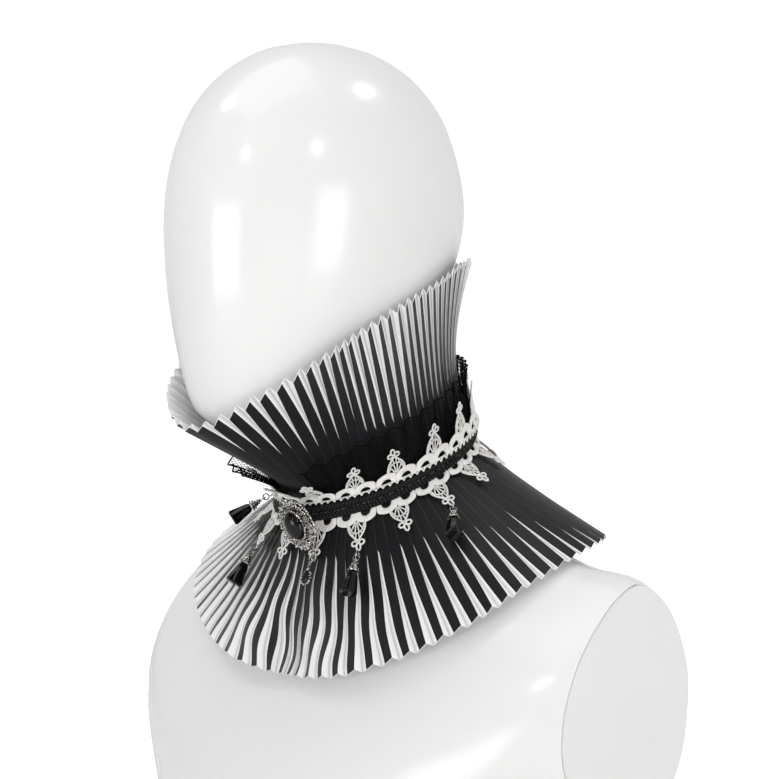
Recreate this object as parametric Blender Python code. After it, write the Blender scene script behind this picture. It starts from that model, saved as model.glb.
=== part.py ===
"""Pleated stand collar on a limbless display bust.

Metres, +Z up. The wearer faces -Y and the wearer's left is +X. The origin is the middle of the
bust's flat base. Plan angles are in degrees from the front centre towards the wearer's left.
Tables are in millimetres, as a pattern cutter writes them, and MM turns them into metres.
"""
import math

import bmesh
import bpy
from mathutils import Matrix, Vector

MM = 0.001
PART_NAME = "stand_collar"
GAP = 0.3

# Neck band: a ring that is level from side to side but lower at the front
BAND_HEIGHT = 202.6
BAND_FORWARD_TILT = 0.4785
BAND_SIDE_TILT = 0.026
BAND_INNER_RADIUS = 48.85
BAND_WALL = 2.2
BAND_HALF_HEIGHT = 6.0
BACK_OPENING = 0.9
BRAID_OUTER_RADIUS = 58.75
BRAID_THICKNESS = 2.4
BRAID_HALF_HEIGHT = 4.9

# The two pleated strips
STRIP_ROOT_RADIUS = 53.8
STRIP_ROOT_OFFSET = 1.2
RUFF_KNEE_OFFSET = 9.4
CAPELET_KNEE_OFFSET = 7.4
STRIP_KNEE_SHARE = 0.05
PLEAT_FACET = 6.5
CLOTH_WALL = 1.7
RUFF_PLEATS = 80
CAPELET_PLEATS = 72
ROOT_PLEAT_DEPTH = 1.5
PLEAT_ROWS = (0.0, STRIP_KNEE_SHARE, 0.22, 0.55, 1.0)
ROOT_LEAN = 0.2

# Free edges, at each angle on the band: the plan angle, radius and height above the band's centre
# where the pleat that starts there ends. Both sides are alike but for the small turns below.
RUFF_EDGE = {
    "root_angle": (0, 20, 40, 60, 80, 100, 120, 140, 160, 180),
    "edge_angle": (0, 17.5, 32, 42.5, 58, 76.5, 96, 122, 151, 180),
    "radius": (136.5, 128, 113, 99, 79, 67.5, 63, 55.5, 52.5, 52),
    "height": (21, 37, 56.5, 70.5, 84.5, 95, 106, 109.5, 110.5, 112.5),
    "waist": (0, 0, 0, 0, 1, 4, 7, 10, 11, 11),
}
RUFF_LEFT_RISE = 4.8
CAPELET_EDGE = {
    "root_angle": (0, 20, 40, 60, 80, 100, 120, 140, 160, 180),
    "edge_angle": (0, 28.5, 51.5, 69, 84, 100.5, 118.5, 138, 159, 180),
    "radius": (72, 84, 100, 117, 127, 133.5, 133, 121.5, 106, 96),
    "height": (-115, -110.5, -97, -78, -57.5, -42.5, -37.5, -42.5, -51, -55.5),
    "waist": (0, 0, 0, 0, 0, 0, 0, 0, 0, 0),
}
CAPELET_LEFT_RISE = -4.0

# Net ruffle, standing against the outside of the upper pleats
NET_WAVES_A_SIDE = 18
NET_WALL = 1.0
NET_FRONT_GAP = 14.0
# Share of the ruff's height, clearance off its mean surface and depth of the waves
NET_ROWS = ((0.012, 1.2, 0.0), (0.05, 1.4, 0.0), (0.22, 3.1, 0.6), (0.36, 4.8, 1.3))

# Guipure lace edges
LACE_REPEATS = 16
LACE_WALL = 1.0

# Glass drops, by the lace pendants that carry them
DROP_ANGLES = (-78.75, -33.75, 33.75, 78.75)


def smooth(table, column, angle):
    """Value of a table's column at an angle on the band, even about the front and the back."""
    xs, ys = table["root_angle"], table[column]
    angle = (angle + 180.0) % 360.0 - 180.0
    a = abs(angle)
    i = 0
    while i < len(xs) - 2 and a > xs[i + 1]:
        i += 1

    def slope(k):
        if k == 0 or k == len(xs) - 1:
            return 1.0 * (column == "edge_angle")
        return (ys[k + 1] - ys[k - 1]) / (xs[k + 1] - xs[k - 1])

    h = xs[i + 1] - xs[i]
    u = (a - xs[i]) / h
    value = ((1 + 2 * u) * (1 - u) ** 2 * ys[i] + u * (1 - u) ** 2 * h * slope(i)
             + u * u * (3 - 2 * u) * ys[i + 1] + u * u * (u - 1) * h * slope(i + 1))
    return math.copysign(value, angle) if column == "edge_angle" else value


def ring_point(angle, radius, rise=0.0):
    """Point on the tilted band ring, in millimetres."""
    a = math.radians(angle)
    x, y = radius * math.sin(a), -radius * math.cos(a)
    return Vector((x, y, BAND_HEIGHT + BAND_FORWARD_TILT * y + BAND_SIDE_TILT * x + rise))


def edge_point(table, left_rise, angle):
    """End of the pleat that starts at an angle on the band."""
    a = math.radians(smooth(table, "edge_angle", angle))
    radius = smooth(table, "radius", angle)
    height = BAND_HEIGHT + smooth(table, "height", angle) + left_rise * math.sin(a)
    return Vector((radius * math.sin(a), -radius * math.cos(a), height))


class Strip:
    """Mean surface of a strip sewn to the band, and layers parallel to it."""

    def __init__(self, table, left_rise, side, knee_offset):
        self.table, self.left_rise, self.side = table, left_rise, side
        self.knee_offset = knee_offset

    def mean(self, angle, t):
        """Point a share t of the way out. Under the braid the strip stands upright."""
        knee = ring_point(angle, STRIP_ROOT_RADIUS, self.side * self.knee_offset)
        if t < STRIP_KNEE_SHARE:
            root = ring_point(angle, STRIP_ROOT_RADIUS, self.side * STRIP_ROOT_OFFSET)
            return root.lerp(knee, t / STRIP_KNEE_SHARE)
        share = (t - STRIP_KNEE_SHARE) / (1.0 - STRIP_KNEE_SHARE)
        edge = edge_point(self.table, self.left_rise, angle)
        pull = smooth(self.table, "waist", angle) * math.sin(math.pi * min(share, 1.0) ** 0.8)
        a = math.radians(angle)
        inward = Vector((-math.sin(a), math.cos(a), 0.0))
        return knee.lerp(edge, share) + inward * pull

    def normal(self, angle, t):
        """Unit vector off the mean surface, away from the neck. Upright under the braid."""
        step, dt = 0.5, 0.01
        level = ring_point(angle, STRIP_ROOT_RADIUS + 1.0) - ring_point(angle, STRIP_ROOT_RADIUS)
        on_slope = max(t, STRIP_KNEE_SHARE)
        along = self.mean(angle + step, on_slope) - self.mean(angle - step, on_slope)
        out = self.mean(angle, on_slope + dt) - self.mean(angle, on_slope)
        off_slope = (along.cross(out) * self.side).normalized()
        turned_over = min(max((t - STRIP_KNEE_SHARE) / (2 * dt) + 0.5, 0.0), 1.0)
        return level.lerp(off_slope, turned_over)

    def point(self, angle, t, offset=0.0):
        return self.mean(angle, t) + self.normal(angle, t) * offset

    def share(self, angle, rise):
        """Share of the way out at a distance along the strip from the middle of the band."""
        if rise < self.knee_offset:
            upright = self.knee_offset - STRIP_ROOT_OFFSET
            return STRIP_KNEE_SHARE * (rise - STRIP_ROOT_OFFSET) / upright
        return STRIP_KNEE_SHARE + (rise - self.knee_offset) / self.slant(angle)

    def slant(self, angle):
        """Length of the strip from band to free edge at an angle."""
        return (self.mean(angle, 1.0) - self.mean(angle, 0.0)).length

    def pitch(self, angle, t, step):
        """Distance between neighbouring pleats."""
        return (self.mean(angle + step / 2, t) - self.mean(angle - step / 2, t)).length


RUFF = Strip(RUFF_EDGE, RUFF_LEFT_RISE, 1, RUFF_KNEE_OFFSET)
CAPELET = Strip(CAPELET_EDGE, CAPELET_LEFT_RISE, -1, CAPELET_KNEE_OFFSET)


def clear_scene():
    for obj in list(bpy.data.objects):
        bpy.data.objects.remove(obj, do_unlink=True)


def make_material(name, colour, roughness, metallic=0.0):
    material = bpy.data.materials.new(name)
    material.use_nodes = True
    shader = material.node_tree.nodes["Principled BSDF"]
    shader.inputs["Base Color"].default_value = (*colour, 1.0)
    shader.inputs["Roughness"].default_value = roughness
    shader.inputs["Metallic"].default_value = metallic
    return material


def link(collection, name, mesh, material):
    obj = bpy.data.objects.new(name, mesh)
    mesh.materials.append(material)
    collection.objects.link(obj)
    return obj


def mesh_object(collection, name, vertices, faces, material):
    """One object from points in millimetres, with its faces turned outwards."""
    mesh = bpy.data.meshes.new(name)
    mesh.from_pydata([Vector(v) * MM for v in vertices], [], faces)
    bm = bmesh.new()
    bm.from_mesh(mesh)
    bmesh.ops.recalc_face_normals(bm, faces=bm.faces)
    bm.to_mesh(mesh)
    bm.free()
    return link(collection, name, mesh, material)


def cell_wall(collection, name, outer, inner, cells, material):
    """A cloth wall from two grids of points. A cell is a quad's four keys, and where a cell has
    no neighbour across an edge, the wall closes there."""
    index, vertices = {}, []
    for grid, side in ((outer, 0), (inner, 1)):
        for key, point in grid.items():
            index[(key, side)] = len(vertices)
            vertices.append(point)
    edges = {}
    for cell in cells:
        for i, key in enumerate(cell):
            edges[(key, cell[(i + 1) % len(cell)])] = True
    faces = []
    for cell in cells:
        faces.append([index[(key, 0)] for key in cell])
        faces.append([index[(key, 1)] for key in reversed(cell)])
    for a, b in edges:
        if (b, a) not in edges:
            faces.append([index[(b, 0)], index[(a, 0)], index[(a, 1)], index[(b, 1)]])
    used = sorted({i for face in faces for i in face})
    place = {old: new for new, old in enumerate(used)}
    return mesh_object(collection, name, [vertices[i] for i in used],
                       [[place[i] for i in face] for face in faces], material)


def strip_cells(columns, rows):
    return [((c, r), (c + 1, r), (c + 1, r + 1), (c, r + 1))
            for c in range(columns - 1) for r in range(rows - 1)]


def back_gap_angle(radius):
    """Half the back opening as an angle, at a radius."""
    return math.degrees(BACK_OPENING / radius)


def build_pleats(collection, name, strip, pleats, material):
    """Knife pleats pressed flat at the band, which open towards the free edge."""
    half = 180.0 - back_gap_angle(STRIP_ROOT_RADIUS)
    step = 2 * half / pleats
    outer, inner = {}, {}
    columns = 2 * pleats + 1
    for c in range(columns):
        ridge = c % 2 == 1
        for r, t in enumerate(PLEAT_ROWS):
            lean = -strip.side * ROOT_LEAN * (1.0 - t) ** 2 if ridge else 0.0
            angle = -half + (c / 2 + lean) * step
            open_pitch = strip.pitch(angle, t, step)
            full_depth = math.sqrt(max(PLEAT_FACET ** 2 - (open_pitch / 2) ** 2, 3.2 ** 2))
            depth = ROOT_PLEAT_DEPTH + (min(full_depth, 4.6) - ROOT_PLEAT_DEPTH) * t ** 0.7
            offset = depth / 2 if ridge else -depth / 2
            outer[(c, r)] = strip.point(angle, t, offset)
            inner[(c, r)] = strip.point(angle, t, offset - CLOTH_WALL)
    return cell_wall(collection, name, outer, inner, strip_cells(columns, len(PLEAT_ROWS)), material)


def build_net(collection, name, first_angle, last_angle, material):
    """Half of the gathered net, close to the pleats at the band and waving at its free edge."""
    columns = 2 * NET_WAVES_A_SIDE + 1
    outer, inner = {}, {}
    for c in range(columns):
        angle = first_angle + (last_angle - first_angle) * c / (columns - 1)
        for r, (t, clearance, wave) in enumerate(NET_ROWS):
            offset = clearance + (wave if c % 2 else -wave)
            outer[(c, r)] = RUFF.point(angle, t, offset + NET_WALL)
            inner[(c, r)] = RUFF.point(angle, t, offset)
    return cell_wall(collection, name, outer, inner, strip_cells(columns, len(NET_ROWS)), material)


def build_ring(collection, name, profile, columns, material):
    """An open ring along the tilted band from a closed profile of (radius, rise) in order."""
    half = 180.0 - back_gap_angle(BAND_INNER_RADIUS)
    vertices, faces = [], []
    n = len(profile)
    for c in range(columns + 1):
        angle = -half + 2 * half * c / columns
        vertices += [ring_point(angle, radius, rise) for radius, rise in profile]
    for c in range(columns):
        for i in range(n):
            j = (i + 1) % n
            faces.append([c * n + i, c * n + j, (c + 1) * n + j, (c + 1) * n + i])
    faces.append(list(range(n)))
    faces.append([columns * n + i for i in reversed(range(n))])
    return mesh_object(collection, name, vertices, faces, material)


def build_neck_band(collection, material):
    outer = BAND_INNER_RADIUS + BAND_WALL
    profile = [(BAND_INNER_RADIUS, -BAND_HALF_HEIGHT), (outer, -BAND_HALF_HEIGHT),
               (outer, BAND_HALF_HEIGHT), (BAND_INNER_RADIUS, BAND_HALF_HEIGHT)]
    return build_ring(collection, "neck_band", profile, 64, material)


def build_braid(collection, material):
    """Gimp braid, with the swell of its two plaited rows."""
    back = BRAID_OUTER_RADIUS - BRAID_THICKNESS
    crest, groove = BRAID_OUTER_RADIUS, BRAID_OUTER_RADIUS - 0.7
    h = BRAID_HALF_HEIGHT
    profile = [(back, -h), (groove, -h), (crest, -h / 2), (groove, 0.0),
               (crest, h / 2), (groove, h), (back, h)]
    return build_ring(collection, "braid", profile, 64, material)


# Lace rows from the braid outwards: distance from the braid's edge at a scallop's ends and beside
# its eyelet. The columns of one repeat are given in widths of a scallop.
LACE_ROWS = ((0.3, 0.3), (1.8, 1.8), (3.9, 4.4), (5.6, 8.0))
REPEAT_COLUMNS = (0.0, 0.3, 0.7, 1.0, 1.3, 1.7, 2.0)
# A pendant where two scallops meet: distance outwards, and half-widths at its side and middle
PENDANT_ROWS = ((14.0, 4.4, 1.9), (19.4, 1.5, 0.6), (24.6, 3.4, 1.2))


def lace_point(strip, angle, distance, sideways, lift):
    """Point on the lace, by its distance out from the braid's edge and along the edge."""
    t = strip.share(angle, BRAID_HALF_HEIGHT + GAP + distance)
    turn = math.degrees(sideways / (STRIP_ROOT_RADIUS + 0.35 * distance))
    return strip.point(angle + turn, t, lift)


def lace_lift(strip, distance):
    """Clearance over the pleats, and over the net where the lace stands on it."""
    if strip.side > 0:
        return 3.1 + 4.9 * (distance / 24.6) ** 1.3
    return 1.6 + 1.6 * min(distance / 20.0, 1.0)


def build_lace(collection, name, strip, first, last, material):
    """Lace edge from one repeat to another, cut through at its eyelets and pendants. A repeat is
    two scallops with a pendant where they meet."""
    scallop = 180.0 / LACE_REPEATS
    outer, inner, cells = {}, {}, []

    def put(key, angle, distance, sideways=0.0):
        lift = lace_lift(strip, distance)
        outer[key] = lace_point(strip, angle, distance, sideways, lift + LACE_WALL)
        inner[key] = lace_point(strip, angle, distance, sideways, lift)

    ends = {6 * first: GAP, 6 * last + 6: -GAP}
    for k in range(first, last + 1):
        start = 2 * scallop * k
        for i, share in enumerate(REPEAT_COLUMNS):
            column = 6 * k + i
            for r, (at_ends, at_eyelet) in enumerate(LACE_ROWS):
                distance = at_eyelet if i % 3 else at_ends
                put((column, r), start + share * scallop, distance, ends.get(column, 0.0))
        for i in range(6):
            c = 6 * k + i
            for r in range(3):
                if (i % 3, r) != (1, 1):
                    cells.append(((c, r), (c + 1, r), (c + 1, r + 1), (c, r + 1)))
        for p, (distance, side, mid) in enumerate(PENDANT_ROWS):
            for i, x in enumerate((-side, -mid, mid, side)):
                put((k, p, i), start + scallop, distance, x)
        left, centre, right = ((6 * k + i, 3) for i in (2, 3, 4))
        cells.append((left, centre, (k, 0, 1), (k, 0, 0)))
        cells.append((centre, right, (k, 0, 3), (k, 0, 2)))
        for p in range(len(PENDANT_ROWS) - 1):
            for i in range(3):
                cells.append(((k, p, i), (k, p, i + 1), (k, p + 1, i + 1), (k, p + 1, i)))
    return cell_wall(collection, name, outer, inner, cells, material)


# Sections of the bust from the base up: front Y and height, side X, Y and height, back Y and height
BUST_ROWS = (
    (-100, -15, 150, 20, -15, 98, -15),
    (-99, 0, 152, 20, 0, 99, 0),
    (-94, 25, 169, 24, 25, 100, 28),
    (-86, 47, 185, 27, 55, 100, 60),
    (-76, 65, 191, 29, 88, 99, 88),
    (-69, 78, 184, 30, 120, 96, 112),
    (-64, 88, 162, 29, 143, 90, 129),
    (-61, 100, 130, 20, 150, 84, 141),
    (-57, 118, 98, 8, 163, 72, 168),
    (-53, 140, 72, 2, 174, 59, 193),
    (-50, 155, 56, 0, 181, 51, 205),
    (-48.5, 165, 48.5, 0, 187, 48.5, 212),
    (-48.5, 179, 48.5, 0, 202, 48.5, 226),
    (-48.5, 191, 48, 0, 218, 42, 243),
    (-60, 202, 48, -3, 228, 34.5, 258),
    (-86, 212, 47, -14, 237, 28, 272),
    (-105, 219, 49, -26, 245, 26, 282),
    (-120, 227, 52, -36, 254, 28, 290),
    (-127, 236, 55, -44, 264, 32, 298),
    (-133, 258, 59, -49, 280, 37, 306),
    (-138, 284, 62.5, -50, 298, 42, 314),
    (-140.5, 310, 66, -47, 316, 46, 324),
    (-141, 337, 67.5, -46, 340, 50, 342),
    (-138, 361, 66, -45.5, 361, 48, 361),
    (-132, 380, 62, -45, 380, 42.5, 380),
    (-124, 396, 56.5, -44, 396, 35, 396),
    (-112, 410, 48.5, -44, 410, 23.5, 410),
    (-98, 421, 38.5, -44, 421, 10.5, 421),
    (-81, 429.5, 26, -44, 429.5, -7, 429.5),
    (-62.5, 434, 13, -44, 434, -25.5, 434),
)
BUST_TOP = (0.0, -44.0, 435.5)
BUST_SIDES = 24
ARM_PLATE_X = 166.0


def bust_section(row):
    front_y, front_z, side_x, side_y, side_z, back_y, back_z = row
    points = []
    for i in range(BUST_SIDES):
        a = 2 * math.pi * i / BUST_SIDES
        c = math.cos(a)
        end_y, end_z = (front_y, front_z) if c >= 0 else (back_y, back_z)
        y = side_y + (end_y - side_y) * abs(c)
        z = side_z + (end_z - side_z) * abs(c) ** 1.3
        points.append(Vector((side_x * math.sin(a), y, z)))
    return points


def build_bust(collection, cutters, material):
    """Smooth egg-headed bust, with the arms' flat plates and the flat base cut by a box."""
    vertices = [p for row in BUST_ROWS for p in bust_section(row)]
    n, rows = BUST_SIDES, len(BUST_ROWS)
    faces = [[r * n + i, r * n + (i + 1) % n, (r + 1) * n + (i + 1) % n, (r + 1) * n + i]
             for r in range(rows - 1) for i in range(n)]
    faces.append(list(reversed(range(n))))
    vertices.append(Vector(BUST_TOP))
    top, last = len(vertices) - 1, (rows - 1) * n
    faces += [[last + i, last + (i + 1) % n, top] for i in range(n)]
    obj = mesh_object(collection, "display_bust", vertices, faces, material)

    height = 500.0
    bpy.ops.mesh.primitive_cube_add(size=1.0, location=(0.0, 0.0, height / 2 * MM))
    box = bpy.context.active_object
    box.name = "bust_trim_box"
    box.data.transform(Matrix.Diagonal((2 * ARM_PLATE_X * MM, 400.0 * MM, height * MM, 1.0)))
    for owner in list(box.users_collection):
        owner.objects.unlink(box)
    cutters.objects.link(box)
    box.hide_render = True
    box.display_type = "WIRE"
    trim = obj.modifiers.new("flat_base_and_arm_plates", "BOOLEAN")
    trim.operation = "INTERSECT"
    trim.object = box
    return obj


def frame_matrix(origin, down, out):
    """Axes for a hanging piece: local -Z hangs down and local -Y faces out, in millimetres."""
    z = -down.normalized()
    y = -(out - z * out.dot(z)).normalized()
    x = y.cross(z)
    matrix = Matrix((x, y, z)).transposed().to_4x4()
    matrix.translation = origin
    return matrix


def turned(profile, sides, start_turn=0.0):
    """Closed turned solid from (radius, z) points, top to bottom, with poles at its ends."""
    bm = bmesh.new()
    loops = []
    for radius, z in profile:
        if radius < 1e-6:
            loops.append([bm.verts.new((0.0, 0.0, z))])
            continue
        loops.append([bm.verts.new((radius * math.cos(start_turn + 2 * math.pi * i / sides),
                                    radius * math.sin(start_turn + 2 * math.pi * i / sides), z))
                      for i in range(sides)])
    for upper, lower in zip(loops, loops[1:]):
        for i in range(sides):
            j = (i + 1) % sides
            corners = [upper[i % len(upper)], upper[j % len(upper)],
                       lower[j % len(lower)], lower[i % len(lower)]]
            bm.faces.new(list(dict.fromkeys(corners)))
    for loop in (loops[0], loops[-1]):
        if len(loop) > 1:
            bm.faces.new(loop)
    bmesh.ops.recalc_face_normals(bm, faces=bm.faces)
    return bm


def ring_mesh(major, wire, plane, centre_z=0.0):
    """A wire ring. Plane "YZ" faces sideways and plane "XZ" faces out."""
    around, section = 12, 5
    bm = bmesh.new()
    grid = []
    for i in range(around):
        a = 2 * math.pi * i / around
        loop = []
        for j in range(section):
            b = 2 * math.pi * j / section
            reach = major + wire * math.cos(b)
            flat, side = (reach * math.cos(a), reach * math.sin(a)), wire * math.sin(b)
            place = (side, flat[0], flat[1]) if plane == "YZ" else (flat[0], side, flat[1])
            loop.append(bm.verts.new((place[0], place[1], place[2] + centre_z)))
        grid.append(loop)
    for i in range(around):
        for j in range(section):
            bm.faces.new([grid[i][j], grid[(i + 1) % around][j],
                          grid[(i + 1) % around][(j + 1) % section], grid[i][(j + 1) % section]])
    bmesh.ops.recalc_face_normals(bm, faces=bm.faces)
    return bm


def placed(collection, name, bm, matrix, material):
    """Object from a bmesh in millimetres, set on a joint's frame."""
    bmesh.ops.scale(bm, vec=(MM, MM, MM), verts=bm.verts)
    mesh = bpy.data.meshes.new(name)
    bm.to_mesh(mesh)
    bm.free()
    obj = link(collection, name, mesh, material)
    world = matrix.copy()
    world.translation = matrix.translation * MM
    obj.matrix_world = world
    return obj


def union(obj, bm, cutters):
    """Weld a second closed shape to an object, in the object's own axes."""
    bmesh.ops.scale(bm, vec=(MM, MM, MM), verts=bm.verts)
    mesh = bpy.data.meshes.new(obj.name + "_tool")
    bm.to_mesh(mesh)
    bm.free()
    tool = bpy.data.objects.new(obj.name + "_tool", mesh)
    tool.matrix_world = obj.matrix_world
    tool.hide_render = True
    tool.display_type = "WIRE"
    cutters.objects.link(tool)
    weld = obj.modifiers.new("weld_" + obj.name, "BOOLEAN")
    weld.operation = "UNION"
    weld.object = tool


CLASP_PLATE = (8.0, 0.9, 6.5)

# Glass drop: a hanging ring, then its cap with a loop, then the faceted glass
LINK_RADIUS = 1.75
LINK_WIRE = 0.42
LOOP_RADIUS = 1.7
LOOP_CENTRE = -LINK_RADIUS - LOOP_RADIUS + 2 * LINK_WIRE + 0.35
CAP_PROFILE = ((0.0, -3.6), (0.9, -3.7), (1.5, -5.2), (2.6, -8.6), (3.1, -10.4), (0.0, -10.4))
GLASS_PROFILE = ((0.0, -10.7), (2.5, -10.7), (3.6, -12.6), (5.0, -21.6), (3.4, -24.0), (0.0, -24.0))
HANG_TILT = 0.13


def hanging_frame(angle, origin, rise):
    """Axes for a piece that lies down the slope of the lower pleats from a point over them."""
    normal = CAPELET.normal(angle, CAPELET.share(angle, rise))
    gravity = Vector((0.0, 0.0, -1.0))
    slope = (gravity - normal * gravity.dot(normal)).normalized()
    return frame_matrix(origin, slope + normal * HANG_TILT, normal)


def drop_frame(angle):
    """A drop's hanging frame, with its ring just below a lace pendant's tip."""
    reach = PENDANT_ROWS[-1][0]
    tip = lace_point(CAPELET, angle, reach, 0.0, lace_lift(CAPELET, reach) + LACE_WALL)
    frame = hanging_frame(angle, tip, BRAID_HALF_HEIGHT + GAP + reach)
    frame.translation = frame @ Vector((0.0, 0.0, -(LINK_RADIUS + LINK_WIRE + GAP)))
    return frame


def build_drop(collection, cutters, number, angle, silver, glass):
    matrix = drop_frame(angle)
    placed(collection, f"drop_ring_{number}", ring_mesh(LINK_RADIUS, LINK_WIRE, "YZ"), matrix, silver)
    cap = placed(collection, f"drop_cap_{number}", turned(CAP_PROFILE, 10), matrix, silver)
    union(cap, ring_mesh(LOOP_RADIUS, LINK_WIRE, "XZ", LOOP_CENTRE), cutters)
    placed(collection, f"glass_drop_{number}", turned(GLASS_PROFILE, 8, math.pi / 8), matrix, glass)


# Brooch on the braid, in its own axes: X across, Z along its long axis, -Y out. The flare of the
# ruff holds its top out, and a short pin joins it to the braid.
BROOCH_ANGLE = 7.0
BROOCH_SIDE_LEAN = 24.0
BROOCH_TOP_OUT = 16.0
BROOCH_STAND_OFF = 10.1
BROOCH_HALF = (11.5, 15.0)
STONE_HALF = (6.2, 8.8)
LOBES = 8
LOBE_DEPTH = 0.06
PIN_RADIUS = 3.0
PENDANT_FLATTENING = 0.5
PENDANT_RISE = 36.0


def front_axes(turn):
    """Plan axes at an angle on the band: X along the band, -Y out."""
    return Matrix.Rotation(math.radians(turn), 4, "Z")


def brooch_frame():
    origin = ring_point(BROOCH_ANGLE, BRAID_OUTER_RADIUS + BROOCH_STAND_OFF)
    return (Matrix.Translation(origin) @ front_axes(BROOCH_ANGLE)
            @ Matrix.Rotation(math.radians(BROOCH_TOP_OUT), 4, "X")
            @ Matrix.Rotation(math.radians(-BROOCH_SIDE_LEAN), 4, "Y"))


def oval_dome(rings, sides, lobes=0, lobe_depth=0.0):
    """Closed oval dome from rows of (half width, half height, y), back to front."""
    bm = bmesh.new()
    loops = []
    for half_x, half_z, y in rings:
        loop = []
        for i in range(sides):
            a = 2 * math.pi * i / sides
            scale = 1.0 + lobe_depth * math.cos(lobes * a) if lobes else 1.0
            loop.append(bm.verts.new((half_x * scale * math.cos(a), y, half_z * scale * math.sin(a))))
        loops.append(loop)
    for first, second in zip(loops, loops[1:]):
        for i in range(sides):
            j = (i + 1) % sides
            bm.faces.new([first[i], first[j], second[j], second[i]])
    bm.faces.new(loops[0])
    bm.faces.new(loops[-1])
    bmesh.ops.recalc_face_normals(bm, faces=bm.faces)
    return bm


def build_brooch(collection, cutters, silver, glass):
    matrix = brooch_frame()
    w, h = BROOCH_HALF
    sx, sz = STONE_HALF
    rings = [(w, h, 0.0), (w, h, -1.2), (sx + 2.6, sz + 2.6, -2.8), (sx + 1.0, sz + 1.0, -3.4)]
    frame = placed(collection, "brooch_frame", oval_dome(rings, 32, LOBES, LOBE_DEPTH),
                   matrix, silver)
    reach = (BROOCH_STAND_OFF - GAP) * math.cos(math.radians(BROOCH_TOP_OUT)) - 0.9
    pin = [(PIN_RADIUS, PIN_RADIUS, reach), (PIN_RADIUS, PIN_RADIUS, -0.5)]
    union(frame, oval_dome(pin, 8), cutters)
    seat = -3.4 - GAP
    stone = [(sx, sz, seat), (sx, sz, seat - 0.8), (sx * 0.86, sz * 0.86, seat - 2.6),
             (sx * 0.55, sz * 0.55, seat - 3.7), (sx * 0.18, sz * 0.18, seat - 4.1)]
    placed(collection, "brooch_stone", oval_dome(stone, 20), matrix, glass)

    hang = pendant_frame()
    placed(collection, "brooch_ring", ring_mesh(LINK_RADIUS, LINK_WIRE, "YZ"), hang, silver)
    profile = ((0.0, -3.4), (1.5, -3.6), (2.0, -5.0), (1.5, -6.5), (2.0, -8.0), (1.4, -9.4),
               (3.0, -11.5), (4.1, -15.0), (3.6, -18.0), (1.6, -19.8), (0.0, -20.2))
    drop = turned(profile, 10)
    bmesh.ops.scale(drop, vec=(1.0, PENDANT_FLATTENING, 1.0), verts=drop.verts)
    pendant = placed(collection, "brooch_pendant", drop, hang, silver)
    union(pendant, ring_mesh(LOOP_RADIUS, LINK_WIRE, "XZ", LOOP_CENTRE), cutters)


def pendant_frame():
    """The pendant's hanging frame, below the brooch's lower end."""
    reach = BROOCH_HALF[1] * (1.0 + LOBE_DEPTH) + LINK_RADIUS + LINK_WIRE + GAP
    low = brooch_frame() @ Vector((0.0, -1.0, -reach))
    return hanging_frame(math.degrees(math.atan2(low.x, -low.y)), low, PENDANT_RISE)


def build_clasp(collection, material):
    """Hook plate and eye plate on the braid's two ends, across the back opening."""
    radius = BRAID_OUTER_RADIUS + GAP + CLASP_PLATE[1] / 2
    centre = ring_point(180.0, radius)
    for name, side in (("clasp_hook", -1), ("clasp_eye", 1)):
        bm = bmesh.new()
        bmesh.ops.create_cube(bm, size=1.0)
        bmesh.ops.scale(bm, vec=CLASP_PLATE, verts=bm.verts)
        offset = side * (CLASP_PLATE[0] / 2 + GAP)
        matrix = (Matrix.Translation(centre) @ front_axes(180.0)
                  @ Matrix.Translation((offset, 0.0, 0.0)))
        placed(collection, name, bm, matrix, material)


def main():
    clear_scene()
    parts = bpy.data.collections.new(PART_NAME)
    cutters = bpy.data.collections.new("cutters")
    bpy.context.scene.collection.children.link(parts)
    bpy.context.scene.collection.children.link(cutters)

    shell_white = make_material("gloss_white_shell", (0.82, 0.81, 0.80), 0.18)
    pleat_cloth = make_material("pleated_black_and_white", (0.35, 0.35, 0.35), 0.55)
    band_cloth = make_material("black_band", (0.02, 0.02, 0.02), 0.8)
    net_cloth = make_material("black_net", (0.015, 0.015, 0.015), 0.9)
    braid_cloth = make_material("black_gimp", (0.02, 0.02, 0.02), 0.5)
    lace_cloth = make_material("off_white_guipure", (0.80, 0.79, 0.76), 0.85)
    silver = make_material("antique_silver", (0.52, 0.50, 0.47), 0.32, 1.0)
    glass = make_material("black_glass", (0.01, 0.01, 0.012), 0.06)

    build_bust(parts, cutters, shell_white)
    build_neck_band(parts, band_cloth)
    build_pleats(parts, "upper_ruff", RUFF, RUFF_PLEATS, pleat_cloth)
    build_pleats(parts, "lower_capelet", CAPELET, CAPELET_PLEATS, pleat_cloth)
    back = 180.0 - back_gap_angle(BRAID_OUTER_RADIUS)
    build_net(parts, "net_ruffle_left", NET_FRONT_GAP, back, net_cloth)
    build_net(parts, "net_ruffle_right", -back, -NET_FRONT_GAP, net_cloth)
    build_braid(parts, braid_cloth)
    for edge, strip in (("upper", RUFF), ("lower", CAPELET)):
        build_lace(parts, f"{edge}_lace_left", strip, 0, LACE_REPEATS // 2 - 1, lace_cloth)
        build_lace(parts, f"{edge}_lace_right", strip, -LACE_REPEATS // 2, -1, lace_cloth)
    build_brooch(parts, cutters, silver, glass)
    for number, angle in enumerate(DROP_ANGLES, start=1):
        build_drop(parts, cutters, number, angle, silver, glass)
    build_clasp(parts, silver)


main()
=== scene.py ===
"""Looks of the pleated stand collar on its display bust, section by section as it is put together.

Tables are in millimetres, and MM turns them into metres. Angles are in degrees in plan, from the
front centre towards the wearer's left, which is +X. The wearer faces -Y.
"""

import math

import bpy
import numpy as np
from mathutils import Matrix, Vector


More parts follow.
